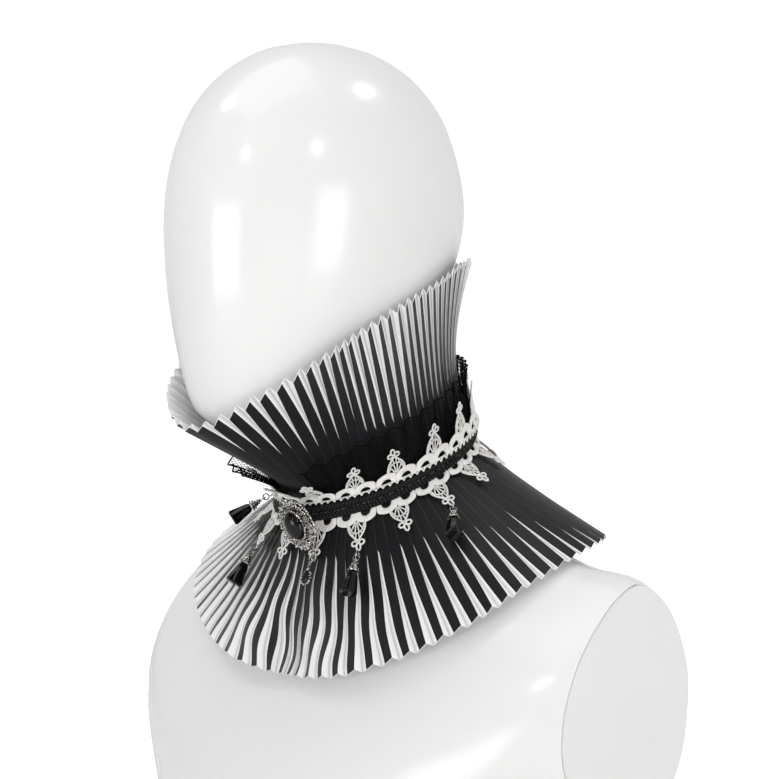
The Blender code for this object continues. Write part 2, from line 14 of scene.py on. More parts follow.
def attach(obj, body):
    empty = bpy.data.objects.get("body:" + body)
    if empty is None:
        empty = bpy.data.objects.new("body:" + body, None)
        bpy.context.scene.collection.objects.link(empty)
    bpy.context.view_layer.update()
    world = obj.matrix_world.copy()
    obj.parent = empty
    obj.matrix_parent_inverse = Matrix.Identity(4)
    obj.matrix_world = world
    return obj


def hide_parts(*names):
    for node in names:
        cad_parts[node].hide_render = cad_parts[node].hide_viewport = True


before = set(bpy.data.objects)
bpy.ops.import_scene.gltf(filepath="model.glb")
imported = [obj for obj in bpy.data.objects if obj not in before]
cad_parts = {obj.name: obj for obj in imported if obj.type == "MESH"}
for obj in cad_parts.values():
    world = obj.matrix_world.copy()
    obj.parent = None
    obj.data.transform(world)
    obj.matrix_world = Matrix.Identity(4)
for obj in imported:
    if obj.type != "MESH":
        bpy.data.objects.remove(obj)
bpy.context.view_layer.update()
bpy.ops.object.select_all(action="DESELECT")
MM = 0.001
BODY = "collar"
chance = np.random.RandomState(7)


# Studio: white paper, two wide soft boxes beside the camera with a small lamp over each, two lamps
# near the ceiling, a wash from above, and a low fill that gives no reflection. The camera stands at
# the wearer's left front, and its own side of the room is dim, so that the black stays black.
CAMERA_PLACE = Vector((0.8801, -0.8872, 0.2531))
CAMERA_LOOK = Vector((-0.6997, 0.7145, -0.0079))
CAMERA_LENS = 101.1
EXPOSURE = 0.1
AIM = Vector((0.0, 0.0, 0.22))
ROOM_DIM = 0.31
ROOM_BRIGHT = 0.7
PAPER_GLOW = 0.62
# name, turn from the camera, height angle, distance, width, height, power
SOFT_BOXES = (
    ("box_left_of_camera", -37.0, 1.0, 1.9, 0.95, 0.80, 9.5),
    ("box_right_of_camera", 44.0, 3.0, 1.9, 0.62, 0.90, 6.5),
    ("lamp_over_left_box", -24.0, 35.3, 1.7, 0.13, 0.10, 0.9),
    ("lamp_over_right_box", 36.0, 34.7, 1.7, 0.14, 0.10, 0.8),
    ("ceiling_lamp_left", -81.6, 55.6, 1.6, 0.22, 0.16, 1.6),
    ("ceiling_lamp_right", 96.3, 54.3, 1.6, 0.26, 0.20, 1.6),
    ("ceiling_wash", -60.0, 78.0, 2.2, 1.9, 1.9, 12.0),
    ("fill_at_camera", 14.0, -10.0, 2.1, 1.3, 1.3, 15.0),
)


def give(target, inputs):
    """Sets inputs of a node, and links those whose value is the output of another one."""
    for key, value in inputs:
        if isinstance(value, bpy.types.NodeSocket):
            target.id_data.links.new(value, target.inputs[key])
        else:
            target.inputs[key].default_value = value


def node(tree, kind, inputs=(), **settings):
    """A new node with its settings and its inputs."""
    new = tree.nodes.new(kind)
    for key, value in settings.items():
        setattr(new, key, value)
    give(new, inputs)
    return new


def ranged(tree, value, low, high, start=0.0, end=1.0, **settings):
    """Output that runs from low to high while a value runs from start to end."""
    inputs = (("Value", value), ("From Min", start), ("From Max", end), ("To Min", low), ("To Max", high))
    return node(tree, "ShaderNodeMapRange", inputs, **settings).outputs["Result"]


def finish_material(name, colour, roughness, metallic=0.0, sockets=()):
    """A Principled material, returned with its node tree and its shader."""
    material = bpy.data.materials.new(name)
    material.use_nodes = True
    shader = material.node_tree.nodes["Principled BSDF"]
    give(shader, (("Base Color", (*colour, 1.0)), ("Roughness", roughness), ("Metallic", metallic)))
    give(shader, sockets)
    return material, material.node_tree, shader


camera_data = bpy.data.cameras.new("camera")
camera_data.lens = CAMERA_LENS
camera_data.sensor_width = 36.0
camera = bpy.data.objects.new("camera", camera_data)
camera.location = CAMERA_PLACE
camera.rotation_euler = CAMERA_LOOK.to_track_quat("-Z", "Y").to_euler()
bpy.context.scene.collection.objects.link(camera)
bpy.context.scene.camera = camera
bpy.context.scene.view_settings.view_transform = "Standard"
bpy.context.scene.view_settings.exposure = EXPOSURE

camera_turn = math.atan2(CAMERA_PLACE.x, -CAMERA_PLACE.y)
for name, turn, height, distance, wide, tall, power in SOFT_BOXES:
    data = bpy.data.lights.new(name, "AREA")
    data.shape = "RECTANGLE"
    data.size, data.size_y = wide, tall
    data.energy = power
    lamp = bpy.data.objects.new(name, data)
    around = camera_turn + math.radians(turn)
    up = math.radians(height)
    out = Vector((math.sin(around) * math.cos(up), -math.cos(around) * math.cos(up), math.sin(up)))
    lamp.location = AIM + out * distance
    lamp.rotation_euler = out.to_track_quat("Z", "Y").to_euler()
    lamp.visible_glossy = name != "fill_at_camera"
    bpy.context.scene.collection.objects.link(lamp)

world = bpy.data.worlds.new("white_studio")
bpy.context.scene.world = world
world.use_nodes = True
tree = world.node_tree
way = node(tree, "ShaderNodeTexCoord").outputs["Generated"]
away = node(tree, "ShaderNodeVectorMath", ((0, way), (1, CAMERA_LOOK)), operation="DOT_PRODUCT")
room = ranged(tree, away.outputs["Value"], ROOM_DIM, ROOM_BRIGHT, -1.0, 1.0)
to_camera = node(tree, "ShaderNodeLightPath").outputs["Is Camera Ray"]
seen = node(tree, "ShaderNodeMix", (("Factor", to_camera), ("A", room), ("B", 1.0)))
give(tree.nodes["Background"], (("Color", (1.0, 1.0, 1.0, 1.0)), ("Strength", seen.outputs["Result"])))

bpy.ops.mesh.primitive_plane_add(size=30.0, location=(0.0, 0.0, -0.0005))
floor = bpy.context.active_object
floor.name = "floor"
paper, tree, shader = finish_material("white_paper", (0.9, 0.9, 0.9), 0.9,
                                      sockets=(("Emission Color", (1.0, 1.0, 1.0, 1.0)),))
to_camera = node(tree, "ShaderNodeLightPath").outputs["Is Camera Ray"]
give(shader, (("Emission Strength", ranged(tree, to_camera, 0.0, PAPER_GLOW)),))
floor.data.materials.append(paper)
bpy.ops.object.select_all(action="DESELECT")


# Display bust: a hollow glass-fibre moulding sprayed gloss white, with an egg-shaped head and no
# face. The arm openings are closed with flat plates, and the chest is cut off level to stand on.
# Columns: front Y and height, side X, Y and height, back Y and height
BUST_ROWS = (
    (-100, -15, 150, 20, -15, 98, -15),
    (-99, 0, 152, 20, 0, 99, 0),
    (-94, 25, 169, 24, 25, 100, 28),
    (-86, 47, 185, 27, 55, 100, 60),
    (-76, 65, 191, 29, 88, 99, 88),
    (-69, 78, 184, 30, 120, 96, 112),
    (-64, 88, 162, 29, 143, 90, 129),
    (-61, 100, 130, 20, 150, 84, 141),
    (-57, 118, 98, 8, 163, 72, 168),
    (-53, 140, 72, 2, 174, 59, 193),
    (-50, 155, 56, 0, 181, 51, 205),
    (-48.5, 165, 48.5, 0, 187, 48.5, 212),
    (-48.5, 179, 48.5, 0, 202, 48.5, 226),
    (-48.5, 191, 48, 0, 218, 42, 243),
    (-60, 202, 48, -3, 228, 34.5, 258),
    (-86, 212, 47, -14, 237, 28, 272),
    (-105, 219, 49, -26, 245, 26, 282),
    (-120, 227, 52, -36, 254, 28, 290),
    (-127, 236, 55, -44, 264, 32, 298),
    (-133, 258, 59, -49, 280, 37, 306),
    (-138, 284, 62.5, -50, 298, 42, 314),
    (-140.5, 310, 66, -47, 316, 46, 324),
    (-141, 337, 67.5, -46, 340, 50, 342),
    (-138, 361, 66, -45.5, 361, 48, 361),
    (-132, 380, 62, -45, 380, 42.5, 380),
    (-124, 396, 56.5, -44, 396, 35, 396),
    (-112, 410, 48.5, -44, 410, 23.5, 410),
    (-98, 421, 38.5, -44, 421, 10.5, 421),
    (-81, 429.5, 26, -44, 429.5, -7, 429.5),
    (-62.5, 434, 13, -44, 434, -25.5, 434),
)
BUST_TOP = (0.0, -44.0, 435.5)
BUST_SIDES = 112
ROWS_BETWEEN = 4
SLOPE_POWER = 1.3
SQUARE_CHEST = 0.14
SQUARE_BACK = 0.38
SQUARE_FROM = 150.0
SQUARE_RUN = 60.0
ARM_PLATE_X = 166.0
PLATE_THICKNESS = 1.6
PLATE_GROOVE = 0.45
GROOVE_DEPTH = 0.9
GROOVE_WALL = 0.35
PLATE_EDGE = 0.5


def rounded(points, count, closed=False):
    """A smooth curve of count points through the given ones."""
    points = np.asarray(points, float)
    if closed:
        padded = np.vstack([points[-1], points, points[:2]])
    else:
        padded = np.vstack([2 * points[0] - points[1], points, 2 * points[-1] - points[-2]])
    spans = len(padded) - 3
    at = np.linspace(0, spans, count, endpoint=not closed)
    i = np.minimum(at.astype(int), spans - 1)
    s = (at - i)[:, None]
    a, b, c, d = padded[i], padded[i + 1], padded[i + 2], padded[i + 3]
    return 0.5 * (2 * b + (c - a) * s + (2 * a - 5 * b + 4 * c - d) * s * s
                  + (3 * b - a - 3 * c + d) * s ** 3)


def mesh_piece(name, points, faces):
    """One smooth-shaded object from points in millimetres."""
    mesh = bpy.data.meshes.new(name)
    mesh.from_pydata((np.asarray(points, float) * MM).tolist(), [], faces)
    mesh.update()
    obj = bpy.data.objects.new(name, mesh)
    bpy.context.scene.collection.objects.link(obj)
    mesh.shade_smooth()
    return obj


def only(obj):
    """Makes an object the single selected and active one."""
    bpy.ops.object.select_all(action="DESELECT")
    obj.select_set(True)
    bpy.context.view_layer.objects.active = obj


def texture(tree, kind, inputs, output="Fac", **settings):
    """Output of a procedural texture that is fixed to the part."""
    place = tree.nodes.get("Texture Coordinate") or node(tree, "ShaderNodeTexCoord")
    inputs = (("Vector", place.outputs["Object"]), *inputs)
    return node(tree, "ShaderNodeTex" + kind, inputs, **settings).outputs[output]


def blend(tree, share, first, second):
    """Output of a mix of two colours, by the share of the second."""
    inputs = (("Factor", share), ("A", first), ("B", second))
    return node(tree, "ShaderNodeMix", inputs, data_type="RGBA").outputs["Result"]


def emboss(tree, shader, height, strength, distance=0.0002):
    """Fine relief on a material."""
    inputs = (("Height", height), ("Strength", strength), ("Distance", distance))
    give(shader, (("Normal", node(tree, "ShaderNodeBump", inputs).outputs["Normal"]),))


bust_points = []
bust_rings = rounded(BUST_ROWS, (len(BUST_ROWS) - 1) * ROWS_BETWEEN + 1)
for front_y, front_z, side_x, side_y, side_z, back_y, back_z in bust_rings:
    below = min(max((SQUARE_FROM - side_z) / SQUARE_RUN, 0.0), 1.0)
    for i in range(BUST_SIDES):
        a = 2 * math.pi * i / BUST_SIDES
        c = math.cos(a)
        end_y, end_z = (front_y, front_z) if c >= 0 else (back_y, back_z)
        power = 1.0 - below * (SQUARE_CHEST if c >= 0 else SQUARE_BACK)
        bust_points.append((side_x * math.sin(a), side_y + (end_y - side_y) * abs(c) ** power,
                            side_z + (end_z - side_z) * abs(c) ** SLOPE_POWER))
bust_points.append(BUST_TOP)
n = BUST_SIDES
last_ring = (len(bust_rings) - 1) * n
bust_faces = [(r * n + i, r * n + (i + 1) % n, (r + 1) * n + (i + 1) % n, (r + 1) * n + i)
              for r in range(len(bust_rings) - 1) for i in range(n)]
bust_faces.append(tuple(reversed(range(n))))
bust_faces += [(last_ring + i, last_ring + (i + 1) % n, len(bust_points) - 1) for i in range(n)]
bust = mesh_piece("bust_shell", bust_points, bust_faces)

only(bust)
bpy.ops.object.mode_set(mode="EDIT")
bpy.ops.mesh.select_mode(type="FACE")
for plane, towards in (((0, 0, 0), (0, 0, -1)), ((ARM_PLATE_X - PLATE_THICKNESS, 0, 0), (1, 0, 0)),
                       ((PLATE_THICKNESS - ARM_PLATE_X, 0, 0), (-1, 0, 0))):
    bpy.ops.mesh.select_all(action="SELECT")
    bpy.ops.mesh.bisect(plane_co=Vector(plane) * MM, plane_no=towards, use_fill=True, clear_outer=True)
for side in (1, -1):
    bpy.ops.object.mode_set(mode="OBJECT")
    for face in bust.data.polygons:
        face.select = face.normal.x * side > 0.99 and face.area > 1e-4
    bpy.ops.object.mode_set(mode="EDIT")
    for inset, outwards in ((PLATE_GROOVE, -GROOVE_DEPTH), (GROOVE_WALL, GROOVE_DEPTH + PLATE_THICKNESS)):
        bpy.ops.mesh.inset(thickness=inset * MM)
        bpy.ops.mesh.extrude_region_move(
            TRANSFORM_OT_translate={"value": (side * outwards * MM, 0, 0)})
    bpy.ops.mesh.inset(thickness=PLATE_EDGE * MM)
bpy.ops.object.mode_set(mode="OBJECT")
bpy.ops.object.shade_smooth_by_angle(angle=math.radians(35))

gloss_white, tree, shader = finish_material(
    "sprayed_gloss_white", (0.80, 0.795, 0.79), 0.2,
    sockets=(("Coat Weight", 0.35), ("Coat Roughness", 0.17), ("Specular IOR Level", 0.4)))
orange_peel = texture(tree, "Noise", (("Scale", 260.0), ("Detail", 2.0)))
emboss(tree, shader, orange_peel, 0.025, 0.0004)
scuffs = texture(tree, "Noise", (("Scale", 14.0), ("Detail", 5.0), ("Roughness", 0.6)))
tint = blend(tree, scuffs, (0.815, 0.81, 0.805, 1), (0.775, 0.765, 0.76, 1))
give(shader, (("Base Color", tint), ("Roughness", ranged(tree, scuffs, 0.15, 0.27, 0.35, 0.75))))
bust.data.materials.append(gloss_white)
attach(bust, BODY)
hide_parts("display_bust")


# Neck band: a stiff black cotton band that carries every layer. The pleats, net and braid are
# sewn to it, so only its inner face and its ends at the back show.
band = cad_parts["neck_band"]
band_cloth, tree, shader = finish_material("black_cotton", (0.014, 0.014, 0.015), 0.85,
                                           sockets=(("Sheen Weight", 0.2),))
threads = texture(tree, "Wave", (("Scale", 700.0), ("Distortion", 1.0)), bands_direction="Z")
emboss(tree, shader, threads, 0.3)
band.data.materials.clear()
band.data.materials.append(band_cloth)


# Pleated trim: one bought edging, woven white with a charcoal satin stripe and pressed in knife
# pleats, so that the stripe covers the outside of each pleat. One length stands up as the ruff, and
# another, turned upside down, falls as the capelet. Both are stitched to the neck band by one edge.
BAND_HEIGHT = 202.6
BAND_FORWARD_TILT = 0.4785
BAND_SIDE_TILT = 0.026
ROOT_RADIUS = 53.8
ROOT_OFFSET = 1.2
KNEE_SHARE = 0.05
BEND_SHARE = 0.13
BACK_OPENING = 0.9
CLOTH_THICKNESS = 0.45
RUFF = {
    "side": 1, "knee": 9.4, "left_rise": 4.8, "pleats": 80,
    "root_angle": (0, 20, 40, 60, 80, 100, 120, 140, 160, 180),
    "edge_angle": (0, 17.5, 32, 42.5, 58, 76.5, 96, 122, 151, 180),
    "radius": (136.5, 128, 113, 99, 79, 67.5, 63, 55.5, 52.5, 52),
    "height": (21, 37, 56.5, 70.5, 84.5, 95, 106, 109.5, 110.5, 112.5),
    "waist": (0, 0, 0, 0, 1, 4, 7, 10, 11, 11),
}
CAPELET = {
    "side": -1, "knee": 7.4, "left_rise": -4.0, "pleats": 72,
    "root_angle": (0, 20, 40, 60, 80, 100, 120, 140, 160, 180),
    "edge_angle": (0, 28.5, 51.5, 69, 84, 100.5, 118.5, 138, 159, 180),
    "radius": (72, 84, 100, 117, 127, 133.5, 133, 121.5, 106, 96),
    "height": (-115, -110.5, -97, -78, -57.5, -42.5, -37.5, -42.5, -51, -55.5),
    "waist": (0, 0, 0, 0, 0, 0, 0, 0, 0, 0),
}


def smooth(strip, column, angle):
    """Value of a strip's column at angles on the band, even about the front and the back."""
    xs = np.array(strip["root_angle"], float)
    ys = np.array(strip[column], float)
    slopes = np.zeros_like(ys)
    slopes[1:-1] = (ys[2:] - ys[:-2]) / (xs[2:] - xs[:-2])
    if column == "edge_angle":
        slopes[0] = slopes[-1] = 1.0
    angle = (np.asarray(angle, float) + 180.0) % 360.0 - 180.0
    a = np.abs(angle)
    i = np.clip(np.searchsorted(xs, a) - 1, 0, len(xs) - 2)
    h = xs[i + 1] - xs[i]
    u = (a - xs[i]) / h
    value = ((1 + 2 * u) * (1 - u) ** 2 * ys[i] + u * (1 - u) ** 2 * h * slopes[i]
             + u * u * (3 - 2 * u) * ys[i + 1] + u * u * (u - 1) * h * slopes[i + 1])
    return np.copysign(value, angle) if column == "edge_angle" else value


def ring_point(angle, radius, rise=0.0):
    """Points on the tilted ring of the neck band."""
    a = np.radians(angle)
    x, y = radius * np.sin(a), -radius * np.cos(a)
    return np.stack([x, y, BAND_HEIGHT + BAND_FORWARD_TILT * y + BAND_SIDE_TILT * x + rise], -1)


def on_slope(strip, angle, t):
    """Points on the straight part of a strip, a share t of the way out."""
    share = (t - KNEE_SHARE) / (1.0 - KNEE_SHARE)
    knee = ring_point(angle, ROOT_RADIUS, strip["side"] * strip["knee"])
    turn = np.radians(smooth(strip, "edge_angle", angle))
    radius = smooth(strip, "radius", angle)
    height = BAND_HEIGHT + smooth(strip, "height", angle) + strip["left_rise"] * np.sin(turn)
    edge = np.stack([radius * np.sin(turn), -radius * np.cos(turn), height], -1)
    pull = smooth(strip, "waist", angle) * np.sin(math.pi * np.clip(share, 0.0, 1.0) ** 0.8)
    a = np.radians(angle)
    inward = np.stack([-np.sin(a), np.cos(a), np.zeros_like(a)], -1)
    return knee + (edge - knee) * share[..., None] + inward * pull[..., None]


def strip_mean(strip, angle, t):
    """Points on a strip's middle surface. It stands upright under the braid and bends over
    smoothly into its slope."""
    angle, t = np.broadcast_arrays(np.asarray(angle, float), np.asarray(t, float))
    root = ring_point(angle, ROOT_RADIUS, strip["side"] * ROOT_OFFSET)
    knee = ring_point(angle, ROOT_RADIUS, strip["side"] * strip["knee"])
    bend_end = on_slope(strip, angle, np.full_like(t, BEND_SHARE))
    s = (t / BEND_SHARE)[..., None]
    bend = (1 - s) ** 2 * root + 2 * s * (1 - s) * knee + s * s * bend_end
    return np.where(s < 1.0, bend, on_slope(strip, angle, t))


def strip_normal(strip, angle, t):
    """Unit vectors off a strip, away from the neck."""
    step, dt = 0.5, 0.004
    along = strip_mean(strip, angle + step, t) - strip_mean(strip, angle - step, t)
    out = strip_mean(strip, angle, t + dt) - strip_mean(strip, angle, t - dt)
    normal = np.cross(along, out) * strip["side"]
    return normal / np.linalg.norm(normal, axis=-1, keepdims=True)


def strip_point(strip, angle, t, offset):
    """Points at a distance off a strip's middle surface."""
    angle, t, offset = np.broadcast_arrays(*(np.asarray(v, float) for v in (angle, t, offset)))
    return strip_mean(strip, angle, t) + strip_normal(strip, angle, t) * offset[..., None]


def width_of_degree(strip, angle, t):
    """Millimetres along a strip for each degree on the band."""
    span = strip_mean(strip, angle + 0.5, t) - strip_mean(strip, angle - 0.5, t)
    return np.linalg.norm(span, axis=-1)


# Ruff and capelet alike: stations across one pleat in pleat widths of cloth, valley to valley. The
# ridge is at a half, and the satin stripe runs from there to STRIPE_END.
STATIONS = (0.0, 0.17, 0.34, 0.5, 0.6, 0.7, 0.8, 0.9)
STRIPE_END = 0.8
PLEAT_ROWS = 46
SHUT_DEPTH = 1.0
CREASE_SCATTER = 0.016
DEPTH_SCATTER = 0.05
RIDGE_WANDER = 0.035
FACET_BULGE = 0.05
SEAM_TUCK = 0.3
SEAM_RUN = 0.12


def step_up(value, low, high):
    """0 below low, 1 above high, and a smooth rise between."""
    u = np.clip((value - low) / (high - low), 0.0, 1.0)
    return u * u * (3 - 2 * u)


def pleated_sheet(name, strip, pleat_shape, tooth, ripple):
    """The pleated cloth as one open sheet. UV u counts pleats, and v runs from seam to free edge.

    Where pleats are closer than they are wide they lie over each other, and each long facet hides
    the white of the next one."""
    way = strip["side"]
    pleats = strip["pleats"]
    half = 180.0 - math.degrees(BACK_OPENING / ROOT_RADIUS)
    step = 2 * half / pleats
    t = np.linspace(0.0, 1.0, PLEAT_ROWS) ** 0.95
    creases = -half + step * (np.arange(pleats + 1) + CREASE_SCATTER * chance.normal(size=pleats + 1))
    creases[0], creases[-1] = -half, half
    angles, offsets, us, rows = [], [], [], []
    for k in range(pleats):
        first, width = creases[k], creases[k + 1] - creases[k]
        middle = way * (first + width / 2)
        pitch = width_of_degree(strip, np.full_like(t, middle), t) * width
        facet, open_depth, start, white = pleat_shape(abs(middle))
        spread = np.clip((t - start) / (1.0 - start), 0.0, 1.0)
        scatter = 1 + DEPTH_SCATTER * chance.normal()
        depth = SHUT_DEPTH + (open_depth - SHUT_DEPTH) * spread * scatter
        flat = np.sqrt(facet ** 2 - depth ** 2)
        ridge = 1.0 - flat / pitch
        ridge += RIDGE_WANDER * chance.normal() * np.sin(3.1 * t + chance.uniform(0, 6)) * t
        tucked = SEAM_TUCK * (1.0 - np.clip(spread / SEAM_RUN, 0.0, 1.0))
        cover = np.clip((1.0 - white * spread) * pitch / flat + tucked, 0.3, 1.0)
        for u in STATIONS:
            if u <= 0.5:
                share, rise = ridge * u / 0.5, np.full_like(t, u / 0.5)
            else:
                if u <= STRIPE_END:
                    down = cover * (u - 0.5) / (STRIPE_END - 0.5)
                else:
                    down = cover + (1.0 - cover) * (u - STRIPE_END) / (1.0 - STRIPE_END)
                share, rise = ridge + (1 - ridge) * down, 1.0 - down
            bulge = FACET_BULGE * math.sin(2 * math.pi * u) * spread
            angles.append(way * (first + width * share))
            offsets.append(depth * (rise - 0.5 + bulge))
            us.append(k + u)
            rows.append(t + tooth * (0.5 - rise) * t ** 5)
    angles.append(np.full_like(t, way * half))
    offsets.append(offsets[0])
    us.append(float(pleats))
    rows.append(rows[0])
    angle, t_all = np.array(angles), np.array(rows)
    angle = angle + ripple(angle, t_all)
    points = strip_point(strip, angle, t_all, np.array(offsets))
    columns, count = angle.shape
    grid = np.arange(columns * count).reshape(columns, count)
    faces = np.stack([grid[:-1, :-1], grid[1:, :-1], grid[1:, 1:], grid[:-1, 1:]], -1).reshape(-1, 4)
    sheet = mesh_piece(name, points.reshape(-1, 3), faces.tolist())
    ends = np.array([loop.vertex_index for loop in sheet.data.loops])
    uv = np.stack([np.repeat(us, count)[ends], t_all.reshape(-1)[ends]], -1)
    sheet.data.uv_layers.new(name="cloth").data.foreach_set("uv", uv.reshape(-1).astype(np.float32))
    return sheet


def thicken(sheet, outside, inside, thickness):
    """Gives a sheet its thickness, with one material outside and another on its back and edge."""
    sheet.data.materials.append(outside)
    sheet.data.materials.append(inside)
    wall = sheet.modifiers.new("wall", "SOLIDIFY")
    wall.thickness = thickness * MM
    wall.offset = 0.0
    wall.material_offset = 1
    wall.material_offset_rim = 1
    only(sheet)
    bpy.ops.object.modifier_apply(modifier="wall")
    bpy.ops.object.shade_smooth_by_angle(angle=math.radians(38))


def maths(tree, operation, *values):
    """Output of one sum on numbers or on the outputs of other nodes."""
    return node(tree, "ShaderNodeMath", tuple(enumerate(values)), operation=operation).outputs[0]


def pleat_material(name, striped):
    """The trim's weave: crisp white, with a charcoal satin stripe on its face. When striped, painted shade
    darkens the white towards each valley, and a painted highlight lightens the stripe along its ridge.
    """
    material, tree, shader = finish_material(
        name, (0.82, 0.82, 0.82), 0.62, sockets=(("Specular IOR Level", 0.22),))
    weave = texture(tree, "Noise", (("Scale", 900.0), ("Detail", 2.0)))
    soft = texture(tree, "Noise", (("Scale", 60.0), ("Detail", 3.0)))
    white = blend(tree, soft, (0.9, 0.9, 0.9, 1), (0.8, 0.8, 0.805, 1))
    emboss(tree, shader, weave, 0.15)
    if not striped:
        give(shader, (("Base Color", white),))
        return material
    uv = node(tree, "ShaderNodeUVMap", uv_map="cloth").outputs["UV"]
    pleats = node(tree, "ShaderNodeSeparateXYZ", (("Vector", uv),)).outputs["X"]
    # Painted shade: the white is darkened towards each valley of the pleat, where the crease lies in
    # shadow
    painted_valley_shade = ranged(tree, maths(tree, "PINGPONG", pleats, 0.5), 0.65, 0.0, 0.0, 0.16)
    white_with_painted_shade = blend(tree, painted_valley_shade, white, (0.4, 0.39, 0.39, 1))
    part_of_pleat = maths(tree, "FRACT", pleats)
    after = maths(tree, "GREATER_THAN", part_of_pleat, 0.5)
    before = maths(tree, "LESS_THAN", part_of_pleat, STRIPE_END)
    stripe = maths(tree, "MULTIPLY", after, before)
    satin = blend(tree, soft, (0.0062, 0.0062, 0.0075, 1), (0.0115, 0.0115, 0.0138, 1))
    # Painted highlight: a lighter line along the ridge of each satin stripe, where the fold catches the
    # light
    painted_ridge_highlight = ranged(tree, part_of_pleat, 0.75, 0.0, 0.5, 0.525, interpolation_type="SMOOTHSTEP")
    black = blend(tree, painted_ridge_highlight, satin, (0.045, 0.045, 0.05, 1))
    give(shader, (("Base Color", blend(tree, stripe, white_with_painted_shade, black)),
                  ("Roughness", ranged(tree, stripe, 0.62, 0.36))))
    return material


striped_cloth = pleat_material("striped_trim", True)
plain_cloth = pleat_material("trim_reverse", False)

# The ruff flares and opens wide over the chest, and stays nearly shut at the sides and the back
def ruff_pleat(a):
    return (np.interp(a, (30, 60), (8.0, 6.8)), np.interp(a, (0, 60, 90, 115), (3.3, 2.8, 2.2, 1.4)),
            np.interp(a, (0, 40, 70), (0.38, 0.34, 0.28)), np.interp(a, (0, 60), (0.6, 0.46)))


ruff = pleated_sheet("ruff_pleats", RUFF, ruff_pleat, 0.034, lambda angle, t: np.zeros_like(angle))
thicken(ruff, striped_cloth, plain_cloth, CLOTH_THICKNESS)
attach(ruff, BODY)
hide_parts("upper_ruff")


# The capelet: the same trim hanging, its pleats crushed into waves over the chest at the front
def crushed_front(angle, t):
    near = np.exp(-(angle / 30.0) ** 2)
    return near * t * (1.5 * np.sin(9.0 * t + 0.11 * angle) + 0.7 * np.sin(17.0 * t - 0.23 * angle))


def capelet_pleat(a):
    return (8.0, np.interp(a, (30, 65, 95), (2.6, 2.1, 1.4)),
            np.interp(a, (0, 30, 60, 90, 120), (0.16, 0.22, 0.27, 0.34, 0.58)),
            np.interp(a, (60, 110), (0.52, 0.42)))


capelet = pleated_sheet("capelet_pleats", CAPELET, capelet_pleat, 0.02, crushed_front)
thicken(capelet, striped_cloth, plain_cloth, CLOTH_THICKNESS)
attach(capelet, BODY)
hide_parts("lower_capelet")


# Net ruffle: black silk net gathered into the seam under the ruff in two lengths, which start
# beside the brooch. Its free edge is rolled over a fine cord that makes it wave.
NET_ENDS = (14.0, 178.5)
NET_WAVES = 18
NET_DEEP = 0.36
NET_CELLS_ALONG = 128
NET_CELLS_OUT = 14
NET_FLARE = 8.0
FLARE_AT = -36.0
THREAD = 0.4
CORD_RADIUS = 0.42


def net_point(angle, share):
    """Points on the net, a share of the way from its seam to its corded edge."""
    t = 0.012 + (NET_DEEP - 0.012) * share
    wave = np.sin(2 * math.pi * NET_WAVES * (np.abs(angle) - NET_ENDS[0]) / (NET_ENDS[1] - NET_ENDS[0]))
    clear = np.interp(share, (0.0, 0.11, 0.6, 1.0), (1.6, 1.9, 3.6, 5.3))
    swing = np.interp(share, (0.0, 0.25, 0.6, 1.0), (0.0, 0.1, 0.7, 1.6))
    clear = clear + NET_FLARE * share ** 2 * np.exp(-((angle - FLARE_AT) / 16.0) ** 2)
    return strip_point(RUFF, angle, t, clear + swing * wave)


def ring_faces(rings, around, closed=False):
    """Faces of a wall that joins rings of points one to the next. The first and last rings are
    capped, or joined to each other in a closed one."""
    faces = []
    for r in range(rings if closed else rings - 1):
        here, there = r * around, (r + 1) % rings * around
        faces += [(here + s, there + s, there + (s + 1) % around, here + (s + 1) % around)
                  for s in range(around)]
    if not closed:
        faces.append(tuple(range(around)))
        faces.append(tuple((rings - 1) * around + s for s in reversed(range(around))))
    return faces


def tube(path, radius, sides, closed=False):
    """A round cord along points, as vertices and faces."""
    path = np.asarray(path, float)
    ahead = np.roll(path, -1, 0) - np.roll(path, 1, 0)
    if not closed:
        ahead[0], ahead[-1] = path[1] - path[0], path[-1] - path[-2]
    ahead /= np.linalg.norm(ahead, axis=1, keepdims=True)
    up = np.array([0.0, 0.0, 1.0])
    first = np.cross(ahead, up)
    flat = np.linalg.norm(first, axis=1) < 0.05
    first[flat] = np.cross(ahead[flat], (1.0, 0.0, 0.0))
    first /= np.linalg.norm(first, axis=1, keepdims=True)
    second = np.cross(first, ahead)
    turns = np.arange(sides) * 2 * math.pi / sides
    ring = path[:, None] + radius * (np.cos(turns)[None, :, None] * first[:, None]
                                     + np.sin(turns)[None, :, None] * second[:, None])
    return ring.reshape(-1, 3), ring_faces(len(path), sides, closed)


def join_parts(parts):
    """Several lots of points and faces as one."""
    points, faces, start = [], [], 0
    for part_points, part_faces in parts:
        points.append(np.asarray(part_points))
        faces += [tuple(start + i for i in face) for face in part_faces]
        start += len(part_points)
    return np.vstack(points), faces


net_silk, tree, shader = finish_material("black_net", (0.003, 0.003, 0.0035), 0.75,
                                         sockets=(("Specular IOR Level", 0.08),))
twist = texture(tree, "Wave", (("Scale", 500.0),), bands_direction="DIAGONAL")
emboss(tree, shader, twist, 0.4)

